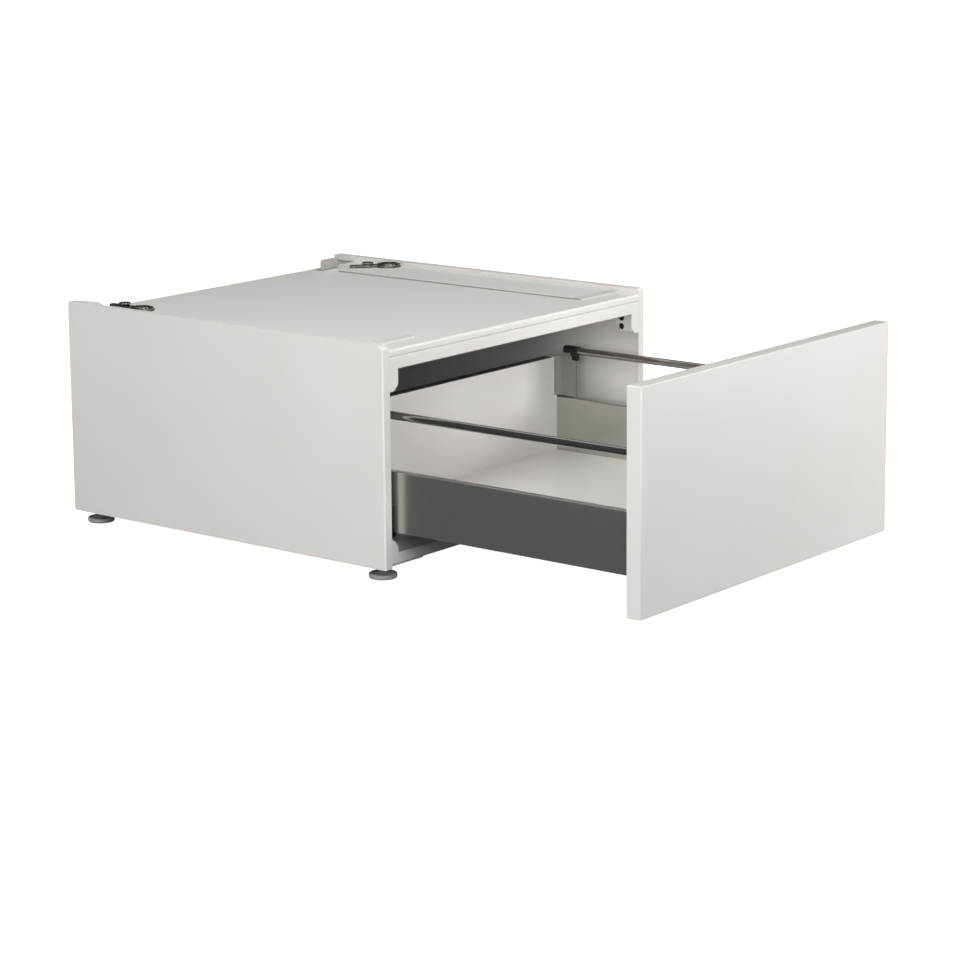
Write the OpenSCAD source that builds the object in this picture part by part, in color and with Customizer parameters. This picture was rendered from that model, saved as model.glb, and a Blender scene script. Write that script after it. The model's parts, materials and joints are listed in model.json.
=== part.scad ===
// Laundry pedestal: a folded sheet-steel cabinet with one pull-out drawer on ball runners.
// Drawn with the drawer open. X is to the right, Y to the back, Z up, and the origin is the middle
// of the footprint on the floor. Sizes are in millimetres.

/* [Cabinet] */
// Width over the side panels
body_w = 596; // [560:1:640]
// Depth of the side panels
body_d = 600; // [570:1:640]
// Height of the top plate above the side panels' lower edge
body_h = 300; // [290:1:340]
// Thickness of the cabinet's sheet steel
sheet = 1.2; // [0.9:0.1:1.5]
// How far the side panels' folded lip stands above the top plate
lip_h = 8; // [6:0.5:12]
// Width of the side panels' folded edges
edge_w = 14; // [12:0.5:17]
// Length of the slope at the left lip's front end
lip_slope = 13; // [8:1:20]
// How much higher the left lip is at its rear end
lip_end_rise = 3.5; // [1:0.5:5]
// Length of the higher rear end of the left lip
lip_end_l = 61; // [40:1:80]
// Distance from the top plate's rear edge to the side panels' rear edge
plate_setback = 42; // [30:1:50]
// Height of the top plate's front fold
plate_fold = 10.5; // [8:0.5:14]
// Height of the upper front rail
upper_rail_h = 17.5; // [14:0.5:22]
// Height of the lower front rail's front face
lower_rail_h = 16; // [12:0.5:20]
// Depth of the upper and lower rails
rail_depth = 21; // [16:0.5:21]
// Height of the lower rails above the side panels' lower edge
lower_rail_lift = 4.5; // [4.5:0.5:7]
// Inside radius of the cabinet's bends
bend_r = 1; // [0.5:0.1:1.5]

/* [Foot tracks] */
// Width of each track that a machine's feet stand on
track_w = 96; // [80:1:110]
// How far the tracks stand above the top plate
track_rise = 2.5; // [2:0.1:4]
// Thickness of the tracks' sheet
track_sheet = 1; // [0.8:0.1:1.2]
// Distance from the cabinet's front to the tracks
track_front = 36; // [25:1:50]
// Distance from the tracks' rear end to the top plate's rear edge
track_rear = 52; // [45:1:70]
// Length of the slope at the tracks' front end
track_slope = 14; // [8:1:25]

/* [Drawer] */
// How far the drawer runs out, from shut to its stop
drawer_travel = 395; // [340:1:420]
// Gap behind the drawer front when the drawer is shut
closed_gap = 2; // [1:0.5:4]
// Thickness of the drawer front
front_t = 22; // [18:1:26]
// How much narrower the drawer front is than the cabinet, on each side
front_inset = 2; // [1:0.5:4]
// Thickness of the drawer front's sheet
front_sheet = 1; // [0.8:0.1:1.2]
// Height of the drawer's lower edge above the side panels' lower edge
drawer_lift = 49.5; // [48:0.5:56]
// Height of the drawer's double-walled sides
drawer_side_h = 84; // [80:1:95]
// Width of the drawer's double-walled sides
drawer_side_w = 11.5; // [11.5:0.1:13]
// Gap between a drawer side and the cabinet's folded edge
drawer_side_gap = 7; // [6.5:0.1:8]
// Distance from the drawer front's rear face to the drawer back
drawer_d = 535; // [500:1:536]
// Height of the drawer back above the drawer's lower edge
drawer_back_h = 146; // [120:1:150]
// Thickness of the drawer's sheet steel
drawer_sheet = 1; // [0.8:0.1:1]
// Inside radius of the bends at the drawer back's corners
back_corner_r = 11; // [6:0.5:14]

/* [Gallery rails] */
// Diameter of the gallery rails
gallery_d = 11; // [8:0.5:12]
// Height of the gallery rails' middle above the drawer's lower edge
gallery_lift = 157.5; // [156:0.5:170]
// Wall of the gallery rail tubes
gallery_wall = 1; // [0.8:0.1:1.5]

/* [Runners] */
// Length of the runners
runner_l = 500; // [460:1:520]
// Distance from the cabinet's front to the runners
runner_front = 4; // [3:0.5:10]
// Thickness of the cabinet runners' sheet
runner_sheet = 1.2; // [1:0.1:1.3]
// Diameter of the runners' balls
ball_d = 4; // [3.5:0.1:4.2]
// Distance between the balls of a row
ball_pitch = 24; // [18:1:30]

/* [Feet] */
// Diameter of the feet
foot_d = 39; // [30:1:45]
// Thickness of the feet
foot_t = 9; // [6:0.5:12]
// Gap between the feet and the side panels' lower edge
foot_gap = 9.5; // [9:0.5:16]
// Diameter of the feet's threaded stems
stem_d = 10; // [8:0.5:10]
// Distance from the cabinet's outside to the middle of a foot
foot_inset_x = 27; // [26:0.5:32]
// Distance from the cabinet's front or back to the middle of a foot
foot_inset_y = 28; // [28:0.5:34]
// How far the feet can be screwed out
foot_travel = 15; // [8:1:18]

/* [Machine clamps] */
// Diameter of the ring that a machine's foot stands in
ring_d = 40; // [34:1:42]
// Bore of that ring
ring_bore = 24; // [18:0.5:26]
// Length of the clamp arm, from the middle of the ring to the middle of its end
clamp_arm_l = 56; // [50:1:64]
// Diameter of the clamp's knob
knob_d = 18; // [14:0.5:18]
// Direction of the right clamp arm, from the right towards the back
right_arm_angle = 141; // [90:1:265]

/* [Hidden] */
$fn = 48;

// Gap between two sheets that are welded or screwed together
seat = 0.2;
// Gap beside something that moves
clear = 0.3;
// Radial clearance of a shaft in its hole
running = 0.06;
// Number of straight steps in a bend
bend_steps = 5;

// Cabinet places
skin_in = body_w / 2 - sheet;
edge_in = body_w / 2 - edge_w;
lip_front = 1;
plate_d = body_d - plate_setback;
plate_under = body_h - sheet;
upper_rail_top = body_h - plate_fold - seat;
upper_rail_bottom = upper_rail_top - upper_rail_h;
lower_rail_flange_h = 25;
seam_bend_r = 0.4;
plate_front_r = 2.5;
panel_front = plate_d + seat;
panel_foot = lower_rail_lift + lower_rail_flange_h + seat;
ground = foot_gap + foot_t;
drawer_open = drawer_travel + closed_gap;
middle_y = (body_d - drawer_open - front_t) / 2;

// Gussets at the front rails' ends
gusset_w = 17;
gusset_drop = 29;
gusset_slope = 8.5;
gusset_back = 41;
gusset_hole_d = 9.5;
gusset_hole_back = 30.5;
gusset_hole_gap = 13;
lower_gusset_w = 13;
lower_gusset_rise = 20;

// Track and clamp places
track_in = edge_in - track_w;
track_back = plate_d - track_rear;
track_top = body_h + track_rise;
track_bend_r = 0.6;
ring_x = edge_in - ring_d / 2 - 2;
right_ring_y = track_back - 40;
left_ring_y = track_back - ring_d / 2;
left_arm_angle = 90;
ring_flange_t = 1.5;
ring_collar_h = 5.5;
ring_wall = 2;
ring_z = track_top + seat;
arm_t = 2.4;
arm_w = 11;
arm_z = ring_z + ring_flange_t + seat;
arm_eye_w = 4.5;
knob_from_ring = 33;
knob_h = 4;
knob_stem_d = 6;
knob_scallops = 12;
knob_scallop_d = 2.6;
boss_drop = arm_z - track_top - clear;
tab_w = 40;
tab_h = 17;
tab_x = track_in - 10;
tab_back = plate_d - 26;
tab_foot = 15;

// Drawer places
drawer_out = edge_in - drawer_side_gap;
drawer_in = drawer_out - drawer_side_w;
drawer_y = -drawer_open;
drawer_rear = drawer_y + drawer_d;
drawer_side_top = drawer_lift + drawer_side_h;
drawer_side_rear = drawer_rear + drawer_sheet;
back_top = drawer_lift + drawer_back_h;
back_return_bottom = drawer_side_top + 3.5;
back_return_d = 37;
back_return_top = back_top + 4;
back_return_front = drawer_side_rear - back_return_d;
back_flange_d = 16;
floor_flange_w = 12;
bracket_t = 2;
bracket_w = 16;
bracket_tongue = 42;
drawer_side_front = drawer_y + bracket_t + 2 * seat;
front_w = body_w - 2 * front_inset;
front_r = 1.6;
gallery_z = drawer_lift + gallery_lift;
gallery_x = drawer_in;
holder_wall = 1.3;
holder_w = gallery_d + 2 * holder_wall;
holder_l = 24;
holder_socket = 11;
holder_rear = drawer_rear - 17;
holder_top = gallery_z + gallery_d / 2 + holder_wall;
holder_bottom = gallery_z - 3.5;
holder_foot_l = 10;
holder_foot_w = 2.5;
holder_foot_h = 7;
cup_d = 17;
cup_l = 12;

// Runner places
wall_out = edge_in - 0.8;
web_out = drawer_in + drawer_sheet + 2.3;
channel_bottom = drawer_lift - 8.5;
channel_r = 6.5;
rail_bend_r = 0.4;
wall_bend_r = 1.5;
support_bottom = channel_bottom - 5;
support_h = 44;
wall_top = channel_bottom + 37;
rail_head = drawer_lift + 37.7;
head_w = 4.8;
ball_play = 0.1;
ball_x = web_out + runner_sheet + clear + ball_d / 2;
upper_ball_z = rail_head + ball_play + ball_d / 2;
lower_ball_z = rail_head - runner_sheet - ball_play - ball_d / 2;
slide_sheet = 0.8;
slide_out = drawer_out - drawer_sheet - seat;
slide_bottom = lower_ball_z - ball_d / 2 - ball_play - slide_sheet;
slide_top = upper_ball_z + ball_d / 2 + ball_play + slide_sheet;
slide_front = drawer_y + 20;
slide_rear = slide_front + runner_l;
cage_sheet = 0.7;
cage_front = runner_front + 2;
cage_rear = slide_rear - 2;
cage_out = slide_out - slide_sheet - clear;
ball_count = floor((cage_rear - cage_front - 10) / ball_pitch) + 1;
screw_d = 4;
screw_head_d = 8;
screw_head_h = 2;
runner_screw_rise = 22;
rear_screw_pitch = 135;
rear_screw_drop = 13;

// Foot places
foot_plate_w = 80;
foot_plate_d = 54;
foot_plate_t = 1.7;
foot_plate_z = lower_rail_lift - seat - foot_plate_t;
bush_d = stem_d + 3;
bush_h = 9;
nut_flats = 17;
nut_h = 6;

// Direction v turned by angle a
function turned(v, a) = [v.x * cos(a) - v.y * sin(a), v.x * sin(a) + v.y * cos(a)];
function unit(v) = v / norm(v);
function left_of(v) = [-v.y, v.x];
function turn_angle(u, v) = atan2(u.x * v.y - u.y * v.x, u.x * v.x + u.y * v.y);

// Arc at corner q between p and s: on the first face of a sheet of thickness t, or on its other face
function corner(p, q, s, r, t = 0, other = false) =
    let (
        d = unit(q - p),
        a = turn_angle(d, unit(s - q)),
        near = a > 0 ? r + t : r,
        far = a > 0 ? r : r + t,
        centre = q - d * near * tan(abs(a) / 2) + left_of(d) * sign(a) * near,
        radius = other ? far : near
    )
    [for (k = [0 : bend_steps]) centre + turned(-left_of(d) * sign(a) * radius, a * k / bend_steps)];

function reversed(list) = [for (i = [len(list) - 1 : -1 : 0]) list[i]];
function pick(r, i) = is_list(r) ? r[i] : r;

// Section of a folded sheet: points run along one face, and the sheet lies to their left
function folded(points, t, r) =
    let (
        n = len(points),
        first = unit(points[1] - points[0]),
        last = unit(points[n - 1] - points[n - 2]),
        face = [for (i = [1 : n - 2])
            each corner(points[i - 1], points[i], points[i + 1], pick(r, i - 1), t)],
        back = [for (i = [1 : n - 2])
            each corner(points[i - 1], points[i], points[i + 1], pick(r, i - 1), t, true)]
    )
    concat(
        [points[0]], face, [points[n - 1]],
        [points[n - 1] + t * left_of(last)], reversed(back), [points[0] + t * left_of(first)]
    );

// Closed outline with rounded corners
function rounded(points, r) =
    let (n = len(points))
    [for (i = [0 : n - 1])
        each pick(r, i) == 0 ? [points[i]]
            : corner(points[(i + n - 1) % n], points[i], points[(i + 1) % n], pick(r, i))];

function box_points(x0, y0, x1, y1) = [[x0, y0], [x1, y0], [x1, y1], [x0, y1]];

// A section drawn in X and Z, run from y0 to y1
module along_y(y0, y1) translate([0, y1, 0]) rotate([90, 0, 0]) linear_extrude(y1 - y0) children();
// A section drawn in Y and Z, run from x0 to x1
module along_x(x0, x1) translate([x0, 0, 0]) rotate([90, 0, 90]) linear_extrude(x1 - x0) children();
// A section drawn in X and Y, run from z0 to z1
module along_z(z0, z1) translate([0, 0, z0]) linear_extrude(z1 - z0) children();

module block(x0, x1, y0, y1, z0, z1) translate([x0, y0, z0]) cube([x1 - x0, y1 - y0, z1 - z0]);
module rod(p, d, h) translate(p) cylinder(h = h, d = d);
module rod_x(p, d, h) translate(p) rotate([0, 90, 0]) cylinder(h = h, d = d);
module rod_y(p, d, h) translate(p) rotate([-90, 0, 0]) cylinder(h = h, d = d);
module left_hand() mirror([1, 0, 0]) children();
// Everything is drawn from the cabinet's front and lower edge, then set on the floor
module placed() translate([0, -middle_y, ground]) children();

// Finishes
module white_coat() color("#DDDCD9") children();
module drawer_coat() color("#CFCDC8") children();
module zinc() color("#A9AAA8") children();
module dark_chrome() color("#4A4845") children();
module black_plastic() color("#1E1E1F") children();
module grey_plastic() color("#9C9C9A") children();

// Hollow lip on top of a side panel, closed at its front end: outline is its side view from the
// front end, and the same outline set in by the sheet is taken out of it
module lip(outline, inner) {
    difference() {
        along_x(edge_in, body_w / 2) polygon(outline);
        along_x(edge_in + sheet, skin_in) polygon(inner);
    }
}

module side_panel_shell() {
    outer_bend = bend_r + sheet;
    skin_front = outer_bend + 0.5;
    front_return = [[edge_in, 0], [body_w / 2, 0], [body_w / 2, body_d], [edge_in, body_d]];
    along_z(0, body_h) polygon(folded(front_return, sheet, bend_r));
    lower_edge = [[edge_in, 0], [body_w / 2, 0], [body_w / 2, body_h + 0.5]];
    along_y(skin_front, body_d - skin_front) polygon(folded(lower_edge, sheet, bend_r));
}

module side_panel_right() {
    lip_top = body_h + lip_h;
    rear = body_d - bend_r - sheet;
    r = 5;
    outline = rounded(
        [[lip_front, body_h + seat], [lip_front, lip_top], [rear, lip_top], [rear, body_h + seat]], [0, r, 2, 0]
    );
    inner = rounded(
        [
            [lip_front + sheet, body_h - 1], [lip_front + sheet, lip_top - sheet], [rear + 1, lip_top - sheet],
            [rear + 1, body_h - 1]
        ],
        [0, r - sheet, 0, 0]
    );
    white_coat() placed() {
        side_panel_shell();
        lip(outline, inner);
    }
}

module side_panel_left() {
    lip_top = body_h + lip_h;
    rear = body_d - bend_r - sheet;
    foot = [body_d - lip_end_l, lip_top];
    top = [foot.x + 3 * lip_end_rise, lip_top + lip_end_rise];
    end = [rear, lip_top + lip_end_rise / 3];
    outline = [
        [lip_front, body_h + seat], [lip_front, body_h + 1], [lip_front + lip_slope, lip_top], foot, top, end,
        [rear, body_h + seat]
    ];
    inner = [
        [lip_front + 3 * sheet, body_h - 1], [lip_front + 3 * sheet, body_h + 1],
        [lip_front + lip_slope + sheet / 2, lip_top - sheet], foot - [0, sheet], top - [0, sheet],
        end + [1, -sheet], [rear + 1, body_h - 1]
    ];
    white_coat() placed() left_hand() {
        side_panel_shell();
        lip(outline, inner);
    }
}

module top_plate() {
    flange = 20;
    hem = 15;
    half = edge_in - seat;
    wide = skin_in - seat;
    front_to_back = [
        [plate_d, body_h - flange], [plate_d, body_h], [0, body_h], [0, body_h - plate_fold],
        [hem, body_h - plate_fold]
    ];
    side_to_side = [[wide, body_h - flange], [wide, body_h], [-wide, body_h], [-wide, body_h - flange]];
    white_coat() placed() {
        along_x(-half, half) polygon(folded(front_to_back, sheet, [bend_r, plate_front_r, seam_bend_r]));
        along_y(gusset_back + 4, plate_d - 3) polygon(folded(side_to_side, sheet, bend_r));
        block(-wide, wide, sheet + seat, plate_d - 2.5, plate_under, body_h);
    }
}

// Raised sheet with folded-down sides and a slope at its front end
module foot_track_right_solid() {
    outer = edge_in - seat;
    foot = body_h + seat;
    across = [[track_in, foot], [track_in, track_top], [outer, track_top], [outer, foot]];
    slope_end = foot + track_sheet;
    along = [
        [track_back, foot], [track_back, track_top], [track_front + track_slope, track_top],
        [track_front, slope_end]
    ];
    inset = track_bend_r + track_sheet;
    along_y(track_front + track_slope, track_back - inset)
        polygon(folded(reversed(across), track_sheet, track_bend_r));
    along_x(track_in + inset, outer - inset)
        polygon(folded(along, track_sheet, track_bend_r));
}
module foot_track_right() white_coat() placed() foot_track_right_solid();
module foot_track_left() white_coat() placed() left_hand() foot_track_right_solid();

module front_rail_upper() {
    half = edge_in - seat;
    channel = [
        [rail_depth, upper_rail_top], [0, upper_rail_top], [0, upper_rail_bottom], [rail_depth, upper_rail_bottom]
    ];
    gusset_bottom = upper_rail_bottom - gusset_drop;
    tab_in = half - gusset_w;
    tab = rounded(
        [
            [half, gusset_bottom], [half, upper_rail_bottom + 3], [tab_in, upper_rail_bottom + 3],
            [tab_in, gusset_bottom + gusset_slope], [tab_in + gusset_slope, gusset_bottom]
        ],
        [0, 0, 0, 2, 2]
    );
    flange = rounded(
        [
            [sheet / 2, gusset_bottom], [gusset_back - gusset_slope, gusset_bottom],
            [gusset_back, gusset_bottom + gusset_slope], [gusset_back, upper_rail_top], [sheet / 2, upper_rail_top]
        ],
        [0, 3, 3, 2, 0]
    );
    hole_z = gusset_bottom + gusset_slope - 2;
    white_coat() placed() {
        along_x(-half, half) polygon(folded(channel, sheet, [seam_bend_r, bend_r]));
        for (m = [0, 1]) mirror([m, 0, 0]) {
            along_y(0, sheet) polygon(tab);
            difference() {
                along_x(half - sheet, half) polygon(flange);
                for (k = [0, 1]) rod_x(
                    [half - sheet - 1, gusset_hole_back, hole_z + k * gusset_hole_gap], gusset_hole_d, sheet + 2
                );
            }
        }
    }
}

// Channel along the floor, with a low front face, a higher rear face and a tab at each end
module lower_rail() {
    half = edge_in - seat;
    z = lower_rail_lift;
    channel = [
        [0, z + lower_rail_h], [0, z], [rail_depth, z], [rail_depth, z + lower_rail_flange_h]
    ];
    tab = rounded(
        [
            [half, z + 2], [half, z + lower_rail_h + lower_gusset_rise],
            [half - 7, z + lower_rail_h + lower_gusset_rise - 4],
            [half - lower_gusset_w, z + lower_rail_h + lower_gusset_rise - 12],
            [half - lower_gusset_w, z + 2]
        ],
        [0, 0, 5, 4, 0]
    );
    along_x(-half, half) polygon(folded(channel, sheet, bend_r));
    for (m = [0, 1]) mirror([m, 0, 0]) along_y(0, sheet) polygon(tab);
}
module front_rail_lower() white_coat() placed() lower_rail();
module rear_rail_lower() white_coat() placed() translate([0, body_d, 0]) mirror([0, 1, 0]) lower_rail();

module rear_panel() {
    wide = skin_in - seat;
    flange = 15;
    panel_top = body_h - 6;
    across = [
        [-wide, panel_front + flange], [-wide, panel_front], [wide, panel_front], [wide, panel_front + flange]
    ];
    foot_end = body_d - rail_depth + 6;
    upright = [[foot_end, panel_foot], [panel_front, panel_foot], [panel_front, panel_top], [panel_front + flange, panel_top]];
    inset = bend_r + sheet + 1;
    white_coat() placed() {
        along_z(panel_foot + inset, panel_top - inset) polygon(folded(across, sheet, bend_r));
        along_x(-wide + inset + 1, wide - inset - 1) polygon(folded(reversed(upright), sheet, bend_r));
    }
}

// Pan-head screw with its head at the origin and its shank going down from it
module screw(length) {
    cylinder(h = screw_head_h * 0.6, d = screw_head_d);
    translate([0, 0, screw_head_h * 0.6 - 0.01])
        cylinder(h = screw_head_h * 0.4 + 0.01, d1 = screw_head_d, d2 = screw_head_d * 0.62);
    translate([0, 0, -length]) cylinder(h = length + 0.1, d = screw_d);
}

module rear_panel_screws() zinc() placed()
    for (k = [-1.5 : 1.5])
        translate([k * rear_screw_pitch, panel_front + sheet + seat / 2, body_h - rear_screw_drop])
            rotate([-90, 0, 0]) screw(0);

// The four foot places, as x and y signs
foot_signs = [[-1, 0], [1, 0], [-1, 1], [1, 1]];
function foot_x(i) = foot_signs[i].x * (body_w / 2 - foot_inset_x);
function foot_y(i) = foot_signs[i].y == 0 ? foot_inset_y : body_d - foot_inset_y;

module foot_plates() white_coat() placed()
    for (i = [0 : 3]) difference() {
        translate([0, foot_signs[i].y * body_d, 0]) mirror([0, foot_signs[i].y, 0])
            mirror([foot_signs[i].x < 0 ? 1 : 0, 0, 0])
                along_y(sheet + 1.5, foot_plate_d) polygon(folded(
                    [
                        [skin_in - seat - foot_plate_w, foot_plate_z], [skin_in - seat, foot_plate_z],
                        [skin_in - seat, foot_plate_z + 18]
                    ],
                    foot_plate_t, bend_r
                ));
        rod([foot_x(i), foot_y(i), foot_plate_z - 1], stem_d + 2 * running, foot_plate_t + 2);
    }

module foot_bushes() zinc() placed()
    for (i = [0 : 3]) difference() {
        rod([foot_x(i), foot_y(i), foot_plate_z + foot_plate_t + seat / 2], bush_d, bush_h);
        rod([foot_x(i), foot_y(i), foot_plate_z], stem_d + 2 * running, bush_h + 4);
    }

module lock_nuts() zinc() placed()
    for (i = [0 : 3]) difference() {
        intersection() {
            translate([foot_x(i), foot_y(i), foot_plate_z - seat / 2 - nut_h])
                cylinder(h = nut_h, d = nut_flats / cos(30), $fn = 6);
            translate([foot_x(i), foot_y(i), foot_plate_z - seat / 2 - nut_h])
                cylinder(h = nut_h, d = nut_flats / cos(30) - 1);
        }
        rod([foot_x(i), foot_y(i), foot_plate_z - nut_h - 1], stem_d + 2 * running, nut_h + 2);
    }

// Round pad, turned as one profile with a small chamfer below and a raised hub above
module foot_pad(i) grey_plastic() placed() translate([foot_x(i), foot_y(i), -ground])
    rotate_extrude() polygon([
        [0, 0], [foot_d / 2 - 1.5, 0], [foot_d / 2, 1.5], [foot_d / 2, foot_t - 3], [foot_d / 2 - 1, foot_t - 2],
        [stem_d / 2 + 4, foot_t - 1], [stem_d / 2 + 3, foot_t], [0, foot_t]
    ]);

module foot_stem(i) zinc() placed() translate([foot_x(i), foot_y(i), 0])
    translate([0, 0, -foot_gap + seat / 2]) {
        reach = foot_gap + foot_plate_z + foot_plate_t + bush_h + foot_travel + 1;
        cylinder(h = reach - 1, d = stem_d);
        translate([0, 0, reach - 1.01]) cylinder(h = 1, d1 = stem_d, d2 = stem_d - 2);
    }

module foot_pad_front_left() foot_pad(0);
module foot_pad_front_right() foot_pad(1);
module foot_pad_rear_left() foot_pad(2);
module foot_pad_rear_right() foot_pad(3);
module foot_stem_front_left() foot_stem(0);
module foot_stem_front_right() foot_stem(1);
module foot_stem_rear_left() foot_stem(2);
module foot_stem_rear_right() foot_stem(3);

module runner_support_solid() {
    inner = wall_out + seat;
    outer = skin_in - seat;
    top = support_bottom + support_h;
    section = [[inner, top], [inner, support_bottom], [outer, support_bottom], [outer, top]];
    along_y(runner_front, panel_front - 2 - seat) polygon(folded(section, sheet, bend_r));
}
module runner_support_right() zinc() placed() runner_support_solid();
module runner_support_left() zinc() placed() left_hand() runner_support_solid();

// Runner fixed in the cabinet: it hooks under the drawer side and rises inside it to a flat rail
module cabinet_runner_solid() {
    section = [
        [web_out + head_w, rail_head], [web_out, rail_head], [web_out, channel_bottom],
        [wall_out, channel_bottom], [wall_out, wall_top]
    ];
    along_y(runner_front, runner_front + runner_l)
        polygon(folded(section, runner_sheet, [rail_bend_r, channel_r, wall_bend_r]));
}
module cabinet_runner_right() zinc() placed() cabinet_runner_solid();
module cabinet_runner_left() zinc() placed() left_hand() cabinet_runner_solid();

module runner_screws() zinc() placed()
    for (m = [0, 1], y = [0.08, 0.46, 0.9] * runner_l) mirror([m, 0, 0])
        translate([wall_out - runner_sheet - seat / 2, runner_front + y, channel_bottom + runner_screw_rise])
            rotate([0, -90, 0]) screw(0);

// Runner fixed inside the drawer side, around the rail of the cabinet runner
module drawer_runner_solid() {
    section = [
        [web_out + runner_sheet + 1, slide_bottom], [slide_out, slide_bottom],
        [slide_out, slide_top], [web_out + 0.6, slide_top]
    ];
    along_y(slide_front, slide_rear) polygon(folded(section, slide_sheet, 0.3));
}
module drawer_runner_right() zinc() placed() drawer_runner_solid();
module drawer_runner_left() zinc() placed() left_hand() drawer_runner_solid();

function ball_y(k) = (cage_front + cage_rear) / 2 + (k - (ball_count - 1) / 2) * ball_pitch;

module balls(d) for (k = [0 : ball_count - 1], z = [lower_ball_z, upper_ball_z])
    translate([ball_x, ball_y(k), z]) sphere(d = d);

// Cage that keeps both rows of balls at their pitch; it travels half as far as the drawer
module ball_cage_solid() {
    section = [
        [web_out + runner_sheet + clear, lower_ball_z - cage_sheet / 2], [cage_out, lower_ball_z - cage_sheet / 2],
        [cage_out, upper_ball_z + cage_sheet / 2], [web_out + 1, upper_ball_z + cage_sheet / 2]
    ];
    difference() {
        along_y(cage_front, cage_rear) polygon(folded(section, cage_sheet, 0.2));
        balls(ball_d + 0.3);
    }
}
module ball_cage_right() black_plastic() placed() ball_cage_solid();
module ball_cage_left() black_plastic() placed() left_hand() ball_cage_solid();
module runner_balls_right() zinc() placed() balls(ball_d);
module runner_balls_left() zinc() placed() left_hand() balls(ball_d);

// Double-walled drawer side, open below for the runner, with a flange that carries the floor
module drawer_side_solid() {
    section = [
        [drawer_out, drawer_lift], [drawer_out, drawer_side_top], [drawer_in, drawer_side_top],
        [drawer_in, drawer_lift + drawer_sheet], [drawer_in - floor_flange_w, drawer_lift + drawer_sheet]
    ];
    along_y(drawer_side_front, drawer_side_rear)
        polygon(folded(section, drawer_sheet, [1.2, 1.2, 0.3]));
}
module drawer_side_right() drawer_coat() placed() drawer_side_solid();
module drawer_side_left() drawer_coat() placed() left_hand() drawer_side_solid();

module drawer_floor() drawer_coat() placed()
    block(
        -drawer_in + seat, drawer_in - seat, drawer_y + seat, drawer_rear - seat,
        drawer_lift + drawer_sheet + seat, drawer_lift + 2 * drawer_sheet + seat
    );

module drawer_back() {
    face_w = drawer_in - seat;
    lower = drawer_lift + drawer_sheet + seat;
    wrap_out = drawer_in + drawer_sheet;
    wrap = [
        [wrap_out, back_return_front], [wrap_out, drawer_side_rear], [-wrap_out, drawer_side_rear],
        [-wrap_out, back_return_front]
    ];
    flange = [[drawer_side_rear + back_flange_d, back_top - 6], [drawer_side_rear + back_flange_d, back_top],
        [drawer_rear, back_top], [drawer_rear, lower]];
    bend_end = drawer_side_rear - back_corner_r - drawer_sheet;
    flange_half = drawer_in - back_corner_r - drawer_sheet;
    notch = 3;
    drawer_coat() placed() {
        block(-face_w, face_w, drawer_rear, drawer_side_rear, lower, back_return_bottom + 1);
        difference() {
            along_z(back_return_bottom, back_top) polygon(folded(wrap, drawer_sheet, back_corner_r));
            block(-flange_half, flange_half, drawer_rear - 1, drawer_side_rear + 1, back_top - notch, back_top + 1);
        }
        along_x(-flange_half, flange_half) polygon(folded(flange, drawer_sheet, 1));
        for (m = [0, 1]) mirror([m, 0, 0]) along_x(drawer_in, wrap_out) polygon(rounded(
            box_points(back_return_front, back_return_bottom, bend_end, back_return_top), [1, 0, 1, 4]
        ));
    }
}

// Rounded panel outline of width w and height h, with its lower left corner at x and y
module panel_block(w, h, d, r) {
    intersection() {
        along_y(0, d) polygon(rounded(box_points(-w / 2, 0, w / 2, h), r));
        along_z(0, h) polygon(rounded(box_points(-w / 2, 0, w / 2, d), [r, r, 0, 0]));
        along_x(-w / 2, w / 2) polygon(rounded(box_points(0, 0, d, h), [r, 0, 0, r]));
    }
}

module drawer_front() white_coat() placed() translate([0, drawer_y - front_t, 0]) difference() {
    panel_block(front_w, body_h, front_t, front_r);
    translate([0, front_sheet, front_sheet])
        panel_block(front_w - 2 * front_sheet, body_h - 2 * front_sheet, front_t, front_r - front_sheet / 2);
}

module drawer_front_cover() white_coat() placed() {
    half = front_w / 2 - front_sheet - seat;
    z0 = front_sheet + seat;
    z1 = body_h - front_sheet - seat;
    flange = 12;
    across = [
        [-half, drawer_y - flange], [-half, drawer_y], [half, drawer_y], [half, drawer_y - flange]
    ];
    along_z(z0, z1) polygon(folded(reversed(across), front_sheet, 0.6));
}

module front_bracket_solid() {
    y0 = drawer_y + seat;
    plate_in = drawer_in - bracket_w;
    plate_z0 = drawer_lift + 8;
    plate_z1 = drawer_side_top - 6;
    tongue_x = drawer_in + drawer_sheet + seat;
    along_y(y0, y0 + bracket_t) polygon(rounded(
        box_points(plate_in, plate_z0, drawer_out - drawer_sheet, plate_z1), [3, 1, 1, 3]
    ));
    along_x(tongue_x, tongue_x + 1.5) polygon(rounded(
        box_points(y0 + bracket_t / 2, slide_top + 4, y0 + bracket_tongue, plate_z1), [0, 3, 3, 0]
    ));
}
module front_bracket_right() zinc() placed() front_bracket_solid();
module front_bracket_left() zinc() placed() left_hand() front_bracket_solid();

module bracket_screws() zinc() placed()
    for (m = [0, 1], z = [0.22, 0.78] * drawer_side_h) mirror([m, 0, 0])
        translate([drawer_in - bracket_w / 2, drawer_y + seat + bracket_t + seat / 2, drawer_lift + z])
            rotate([-90, 0, 0]) screw(0);

module gallery_rail_solid() difference() {
    y0 = drawer_y + 2;
    y1 = holder_rear - holder_l + holder_socket - seat;
    rod_y([gallery_x, y0, gallery_z], gallery_d, y1 - y0);
    rod_y([gallery_x, y0 - 1, gallery_z], gallery_d - 2 * gallery_wall, y1 - y0 + 2);
}
module gallery_rail_right() dark_chrome() placed() gallery_rail_solid();
module gallery_rail_left() dark_chrome() placed() left_hand() gallery_rail_solid();

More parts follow.
